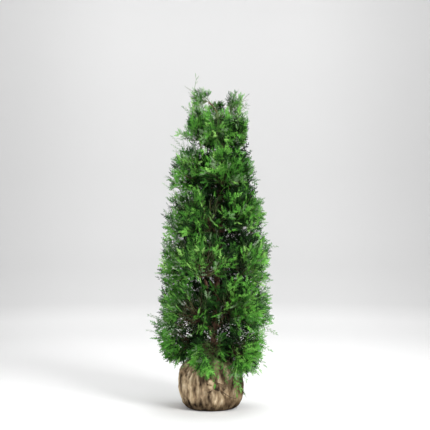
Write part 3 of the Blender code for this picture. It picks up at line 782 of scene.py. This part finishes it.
leaves, twigs = Leaves(), Tubes()
rng = np.random.default_rng(4711)
for tip, foot, depth, size, tint in STAND_OUT:
    p0, p1 = at(*foot, depth + 0.012), at(*tip, depth)
    axis = unit(p1 - p0)
    p1 = p1 - axis * size * 0.72
    facing = unit(np.array((rng.normal(0, 0.35), -1.0, rng.normal(0, 0.25))))
    long = float(np.linalg.norm(p1 - p0))
    low = tip[1] > 300
    spray(leaves, twigs, rng, p0 - axis * 0.02, p1, facing, size, tint, spacing=max(0.006, size * 0.34), bare=0.10,
          bend=UP * long * (0.10 if low and p1[2] < p0[2] else rng.uniform(-0.06, 0.04)), thick=0.0011, slim=size < 0.0205, opening=46.0,
          wood=0 if tip[1] < 130 else 2, droop=0.05, check=False)

for k in range(150):
    column = rng.uniform(191.0, 246.0)
    top = float(np.interp(column, (191, 197, 203, 212, 222, 228, 234, 241, 246), (103, 95, 101, 108, 112, 106, 99, 96, 104)))
    row = rng.uniform(top + 14.0, 152.0)
    rise = rng.uniform(12.0, 22.0)
    depth = rng.normal(0.0, 0.035)
    p0 = at(column - (column - 219.0) * 0.10, row, depth)
    p1 = at(column + (column - 219.0) * 0.04, max(top + 3.0, row - rise), depth * 1.2)
    facing = unit(np.array((rng.normal(0, 0.5), -1.0, rng.normal(0, 0.2))))
    spray(leaves, twigs, rng, p0, p1, facing, rng.uniform(0.022, 0.034), tint_for(rng, p1, 1.0), spacing=0.0105, bare=0.12, thick=0.0010,
          slim=rng.random() < 0.5, opening=40.0, wood=2 if rng.random() < 0.8 else 0, check=False)
for k in range(110):
    turn = math.radians(rng.uniform(0.0, 360.0))
    z = rng.uniform(0.285, 0.36)
    r0, r1 = rng.uniform(0.03, 0.10), rng.uniform(0.12, 0.20)
    way = np.array((math.cos(turn), math.sin(turn), 0.0))
    p0, p1 = way * r0 + UP * z, way * r1 + UP * (z - rng.uniform(0.0, 0.07) * (r1 > 0.15))
    if ball_inside(p1):
        continue
    # one in five take the near-black shade tint and two in five the deep green: painted shade low under the crown
    spray(leaves, twigs, rng, p0, p1, unit(UP + way * 0.4 + rng.normal(0, 0.3, 3)), 0.052, int(rng.choice((0, 1, 1, 2, 3))), spacing=0.017,
          bare=0.1, thick=0.0014, wood=1, check=False)

# bare and leafy tips of the left leader, its arch, and the dark bare twig on the left
arch = [at(222.5, 117.0, 0.0), at(216.2, 110.0, -0.006), at(209.3, 101.2, -0.010), at(203.6, 95.6, -0.010), at(197.2, 91.3, -0.010), at(192.6, 90.2, -0.010)]
twigs.add(arch, [0.0022, 0.0020, 0.0018, 0.0016, 0.0013, 0.0009], 2, 5)
twigs.add([at(194.6, 92.0, -0.010), at(194.8, 87.0, -0.010), at(196.2, 79.6, -0.010), at(195.6, 75.6, -0.010)], [0.0014, 0.0012, 0.0010, 0.0007], 2, 4)
for (c0, r0), (c1, r1), size in (((196.2, 79.8), (198.5, 76.6), 0.010), ((195.8, 77.4), (195.5, 73.6), 0.010), ((195.6, 84.0), (197.4, 81.8), 0.007)):
    a, b = at(c0, r0, -0.010), at(c1, r1, -0.010)
    leaves.add(a, b - a, np.array((0.1, -1.0, 0.1)), float(np.linalg.norm(b - a)) * 1.25, 0.0, FIRST_SLIM, 6)
for k in range(16):
    t = k / 15.0
    i = min(4, int(t * 5))
    p = arch[i] + (arch[i + 1] - arch[i]) * (t * 5 - i)
    leaves.add(p, np.array((rng.normal(-0.25, 0.5), rng.normal(0, 0.3), 1.0 if k % 3 else -0.7)), np.array((0.2, -1.0, 0.0)), 0.024 * rng.uniform(0.7, 1.2), 0.0,
               FIRST_SLIM + k % 3, int(rng.choice((1, 2, 3))))
for (c0, r0, y0), (c1, r1, y1), thick, slot in (((181.0, 191.5, -0.03), (168.2, 176.1, -0.03), 0.0013, 1), ((178.0, 187.6, -0.03), (176.2, 186.4, -0.03), 0.0007, 1),
                                          ((200.4, 143.0, -0.03), (199.8, 124.0, -0.03), 0.0017, 0), ((208.4, 118.0, -0.01), (208.9, 98.0, -0.01), 0.0013, 0),
                                          ((228.6, 116.0, 0.0), (227.7, 102.0, 0.0), 0.0013, 0), ((225.0, 126.0, 0.0), (231.0, 112.0, 0.0), 0.0019, 0),
                                          ((222.2, 128.0, -0.02), (222.6, 112.0, -0.02), 0.0014, 0)):
    a, b = at(c0, r0, y0), at(c1, r1, y1)
    twigs.add([a, a + (b - a) * 0.5 + np.array((0.0012, 0, 0)), b], [thick, thick * 0.8, thick * 0.45], slot, 4)
piece = leaves.build("outer_sprays")
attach(piece, "root")
outer = len(piece.data.polygons)
piece = twigs.build("outer_twigs")
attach(piece, "root")
print("outer", outer, len(piece.data.polygons))


# ---------------------------------------------------------------- trunk and boughs
def bark_relief(name, nodes, thickness, cuts, inset=0.0):
    """A finer copy of the limbs' solids with fibrous ridges along them."""
    import bmesh
    shape = bmesh.new()
    for node in nodes:
        shape.from_mesh(NODES[node].data)
    bmesh.ops.remove_doubles(shape, verts=shape.verts, dist=1e-5)
    for _ in range(cuts):
        bmesh.ops.subdivide_edges(shape, edges=shape.edges[:], cuts=1, use_grid_fill=True, smooth=0.35)
    bmesh.ops.triangulate(shape, faces=shape.faces[:])
    shape.normal_update()
    for v in shape.verts:
        p = v.co
        turn = math.atan2(p.y - trunk_at(p.z)[1], p.x - trunk_at(p.z)[0])
        ridge = abs(noise.noise(Vector((math.cos(turn) * 3.1, math.sin(turn) * 3.1, p.z * 9.0))))
        knot = noise.noise(Vector((p.x * 90, p.y * 90, p.z * 22)))
        v.co = p + v.normal * (thickness * (0.9 * (0.45 - ridge) + 0.5 * knot) - inset)
    mesh = bpy.data.meshes.new(name)
    shape.to_mesh(mesh)
    shape.free()
    mesh.materials.append(BARK)
    mesh.shade_smooth()
    made = bpy.data.objects.new(name, mesh)
    SCENE.collection.objects.link(made)
    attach(made, "root")
    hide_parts(*nodes)
    return made


bark_relief("trunk_bark", ["trunk"], 0.0016, 3)
bark_relief("leader_bark", ["leader_left", "leader_right"], 0.0004, 1, 0.0014)
bark_relief("bough_bark", sorted(n for n in NODES if "_bough_" in n or n.startswith(("stem_", "shoot_"))), 0.0007, 2)


# ---------------------------------------------------------------- wrapped root ball
def cloth_material(name, weave):
    made = bpy.data.materials.new(name)
    made.use_nodes = True
    nodes, links = made.node_tree.nodes, made.node_tree.links
    shader = nodes["Principled BSDF"]
    shader.inputs["Roughness"].default_value = 0.92
    shader.inputs["Specular IOR Level"].default_value = 0.15
    place = nodes.new("ShaderNodeTexCoord")

    def texture(scale, detail, stretch=(1, 1, 1)):
        mapping = nodes.new("ShaderNodeMapping")
        mapping.inputs["Scale"].default_value = stretch
        links.new(place.outputs["Object"], mapping.inputs["Vector"])
        made_noise = nodes.new("ShaderNodeTexNoise")
        made_noise.inputs["Scale"].default_value = scale
        made_noise.inputs["Detail"].default_value = detail
        links.new(mapping.outputs["Vector"], made_noise.inputs["Vector"])
        return made_noise.outputs["Fac"]

    def ramp(value, *stops):
        made_ramp = nodes.new("ShaderNodeValToRGB")
        while len(made_ramp.color_ramp.elements) < len(stops):
            made_ramp.color_ramp.elements.new(0.5)
        for element, (where, colour) in zip(made_ramp.color_ramp.elements, stops):
            element.position = where
            element.color = (*colour, 1.0)
        links.new(value, made_ramp.inputs["Fac"])
        return made_ramp.outputs["Color"]

    def mix(kind, amount, a, b):
        made_mix = nodes.new("ShaderNodeMixRGB")
        made_mix.blend_type = kind
        if isinstance(amount, float):
            made_mix.inputs["Fac"].default_value = amount
        else:
            links.new(amount, made_mix.inputs["Fac"])
        links.new(a, made_mix.inputs["Color1"])
        links.new(b, made_mix.inputs["Color2"])
        return made_mix.outputs["Color"]

    # vertical streaks of the jute's own tan, running from near-black painted crease shade to pale tan painted
    # highlights
    fibre_streaks_and_painted_creases = texture(34.0, 6.0, (1.0, 1.0, 0.35))
    base = ramp(fibre_streaks_and_painted_creases, (0.32, (0.030, 0.019, 0.012)), (0.45, (0.260, 0.182, 0.108)), (0.56, (0.560, 0.425, 0.265)), (0.72, (0.920, 0.770, 0.550)))
    stains = ramp(texture(11.0, 3.0), (0.34, (0.34, 0.31, 0.29)), (0.52, (1.0, 1.0, 1.0)), (0.85, (1.12, 1.08, 1.0)))
    colour = mix("MULTIPLY", 0.85, base, stains)
    split = nodes.new("ShaderNodeSeparateXYZ")
    links.new(place.outputs["Object"], split.inputs[0])
    # darker towards the bottom of the ball
    bottom_darkening_range = nodes.new("ShaderNodeMapRange")
    bottom_darkening_range.inputs["From Min"].default_value = 0.002
    bottom_darkening_range.inputs["From Max"].default_value = 0.060
    links.new(split.outputs["Z"], bottom_darkening_range.inputs["Value"])
    bottom_darkening = ramp(bottom_darkening_range.outputs["Result"], (0.0, (0.16, 0.14, 0.12)), (0.45, (0.45, 0.42, 0.38)), (1.0, (1.0, 1.0, 1.0)))
    colour = mix("MULTIPLY", 1.0, colour, bottom_darkening)
    # painted shadow of the foliage: the cloth darkens towards the right side
    right = nodes.new("ShaderNodeMapRange")
    right.inputs["From Min"].default_value = 0.020
    right.inputs["From Max"].default_value = 0.165
    links.new(split.outputs["X"], right.inputs["Value"])
    colour = mix("MULTIPLY", 1.0, colour, ramp(right.outputs["Result"], (0.0, (1.0, 1.0, 1.0)), (1.0, (0.50, 0.46, 0.43))))
    links.new(colour, shader.inputs["Base Color"])
    threads = nodes.new("ShaderNodeTexWave")
    threads.wave_type, threads.bands_direction = "BANDS", "Z"
    threads.inputs["Scale"].default_value = weave
    threads.inputs["Distortion"].default_value = 2.0
    links.new(place.outputs["Object"], threads.inputs["Vector"])
    across = nodes.new("ShaderNodeTexWave")
    across.wave_type, across.bands_direction = "BANDS", "X"
    across.inputs["Scale"].default_value = weave
    across.inputs["Distortion"].default_value = 2.0
    links.new(place.outputs["Object"], across.inputs["Vector"])
    both = nodes.new("ShaderNodeMath")
    both.operation = "ADD"
    links.new(threads.outputs["Fac"], both.inputs[0])
    links.new(across.outputs["Fac"], both.inputs[1])
    rough = nodes.new("ShaderNodeMath")
    rough.operation = "ADD"
    links.new(both.outputs[0], rough.inputs[0])
    links.new(fibre_streaks_and_painted_creases, rough.inputs[1])
    bump = nodes.new("ShaderNodeBump")
    bump.inputs["Strength"].default_value = 0.5
    bump.inputs["Distance"].default_value = 0.0015
    links.new(rough.outputs[0], bump.inputs["Height"])
    links.new(bump.outputs["Normal"], shader.inputs["Normal"])
    return made


JUTE = cloth_material("jute_cloth", 90.0)
KNOT = np.array((0.034, -0.172, 0.142))


def ball_at(t):
    if t < 0.5:
        a = (t / 0.5) * math.pi / 2
        return FOOT_R + (BALL_R - FOOT_R) * math.sin(a) ** 0.85, BALL_BELLY_Z * (1 - math.cos(a))
    a = ((t - 0.5) / 0.5) * math.pi / 2
    return 0.046 + (BALL_R - 0.046) * math.cos(a) ** 0.62, BALL_BELLY_Z + (BALL_H - BALL_BELLY_Z) * math.sin(a) ** 1.15


def wrapped_ball():
    around, up = 300, 120
    verts = [(0.0, 0.0, 0.0005)]
    for j in range(up + 1):
        t = j / up
        r0, z0 = ball_at(t)
        for i in range(around):
            a = 2 * math.pi * i / around
            c, s = math.cos(a), math.sin(a)
            body = math.sin(math.pi * min(1.0, max(0.0, z0 / BALL_H)))
            z = z0 - 0.022 * c * body
            r = r0 + (0.0045 * math.cos(9 * a + 1.3) + 0.003 * math.cos(16 * a + 4.0 + 9 * z)) * body
            p = Vector((r * c, r * s, z))
            off = Vector((p.x - KNOT[0], 0.0, p.z - KNOT[2]))
            near = math.exp(-(off.length / 0.085) ** 2) if s < 0 else 0.0
            ray = math.atan2(off.z, off.x)
            # folds run down the ball, and round the knot they run towards it
            swirl = 2.2 * noise.noise(Vector((c * 1.3, s * 1.3, z * 6.0)))
            down = 1.0 - abs(noise.noise(Vector((c * 9.0 + swirl, s * 9.0, z * 5.0 + 2.0)))) * 2.6
            fine = 1.0 - abs(noise.noise(Vector((c * 22.0 + swirl * 2, s * 22.0, z * 13.0 + 7.0)))) * 2.4
            star = 1.0 - abs(noise.noise(Vector((math.cos(ray) * 4.5, math.sin(ray) * 4.5, off.length * 6.0)))) * 2.6
            fold = (1 - near) * (0.0088 * down + 0.0042 * fine) + near * (0.0115 * star + 0.0032 * fine)
            r += (fold - 0.007) * min(1.0, body * 3.0)
            verts.append((r * c + (0.012 * max(0.0, (t - 0.75) * 4)), r * s, max(0.0004, z)))
    top = len(verts)
    verts.append((0.012, 0.0, BALL_H + 0.001))
    tris = []
    for i in range(around):
        n = (i + 1) % around
        tris.append((0, 1 + n, 1 + i))
        for j in range(up):
            a, b = 1 + j * around, 1 + (j + 1) * around
            tris.append((a + i, a + n, b + n))
            tris.append((a + i, b + n, b + i))
        a = 1 + up * around
        tris.append((a + i, a + n, top))
    made = mesh_object("jute_wrap", verts, tris, [JUTE], smooth=True)
    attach(made, "root")
    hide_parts("root_ball")
    return made


def knot_cloth():
    """The tied corners: a twisted bunch with a neck and two ears, and short loose ends."""
    verts, tris = [], []

    def bunch(points, radii, folds, seed, sides=40):
        base = len(verts)
        points = np.array(points, float)
        fine = []
        for k in range(len(points) - 1):
            for t in np.linspace(0, 1, 7, endpoint=False):
                fine.append((points[k] * (1 - t) + points[k + 1] * t, radii[k] * (1 - t) + radii[k + 1] * t))
        fine.append((points[-1], radii[-1]))
        rings = len(fine)
        line = np.array([f[0] for f in fine])
        along = np.gradient(line, axis=0)
        for k in range(rings):
            d = unit(along[k])
            side = unit(np.cross(d, (0.0, 1.0, 0.05)))
            other = np.cross(d, side)
            for i in range(sides):
                a = 2 * math.pi * i / sides
                pleat = 1.0 + 0.16 * math.sin(folds * a + k * 0.22 + seed) + 0.16 * noise.noise(Vector((math.cos(a) * 2, math.sin(a) * 2 + seed, k * 0.16)))
                r = fine[k][1] * pleat
                verts.append(tuple(line[k] + side * math.cos(a) * r + other * math.sin(a) * r * 0.62))
        for k in range(rings - 1):
            for i in range(sides):
                n = (i + 1) % sides
                a, b = base + k * sides, base + (k + 1) * sides
                tris.append((a + i, a + n, b + n))
                tris.append((a + i, b + n, b + i))
        for end, ring in ((0, 0), (1, rings - 1)):
            centre = len(verts)
            verts.append(tuple(line[0] if end == 0 else line[-1]))
            for i in range(sides):
                n = (i + 1) % sides
                a = base + ring * sides
                tris.append((a + n, a + i, centre) if end == 0 else (a + i, a + n, centre))

    bunch([(0.034, -0.178, 0.120), (0.035, -0.183, 0.132), (0.034, -0.184, 0.146), (0.031, -0.182, 0.158)], [0.012, 0.026, 0.025, 0.012], 7, 0.4)
    bunch([(0.031, -0.182, 0.154), (0.028, -0.184, 0.166), (0.024, -0.184, 0.182), (0.022, -0.181, 0.200)], [0.0085, 0.0065, 0.0090, 0.0120], 5, 2.0, 28)
    bunch([(0.020, -0.180, 0.150), (0.005, -0.183, 0.160), (-0.008, -0.181, 0.172)], [0.010, 0.0080, 0.0095], 5, 4.1, 28)
    bunch([(0.046, -0.178, 0.140), (0.060, -0.176, 0.132), (0.070, -0.170, 0.120)], [0.012, 0.0075, 0.0050], 4, 1.1, 24)
    made = mesh_object("jute_knot", verts, tris, [JUTE], smooth=True)
    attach(made, "root")
    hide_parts("cloth_knot")
    return made


def knot_string():
    """The dark twine round the neck of the knot, pressed into the cloth on the right."""
    tubes = Tubes()
    ring = [(0.031 + 0.0100 * math.cos(a), -0.1825 + 0.0070 * math.sin(a), 0.1585 + 0.0012 * math.sin(2 * a)) for a in np.linspace(0, 2 * math.pi, 17)]
    tubes.add(ring, [0.0014] * 17, 0, 6)
    run = [at(222.0, 391.5, -0.176), at(226.0, 394.6, -0.173), at(230.5, 397.2, -0.165), at(236.0, 398.8, -0.150)]
    tubes.add(run, [0.0016, 0.0016, 0.0015, 0.0012], 0, 6)
    made = tubes.build("knot_twine", [TWIG_DARK])
    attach(made, "root")
    return made


wrapped_ball()
knot_cloth()
knot_string()
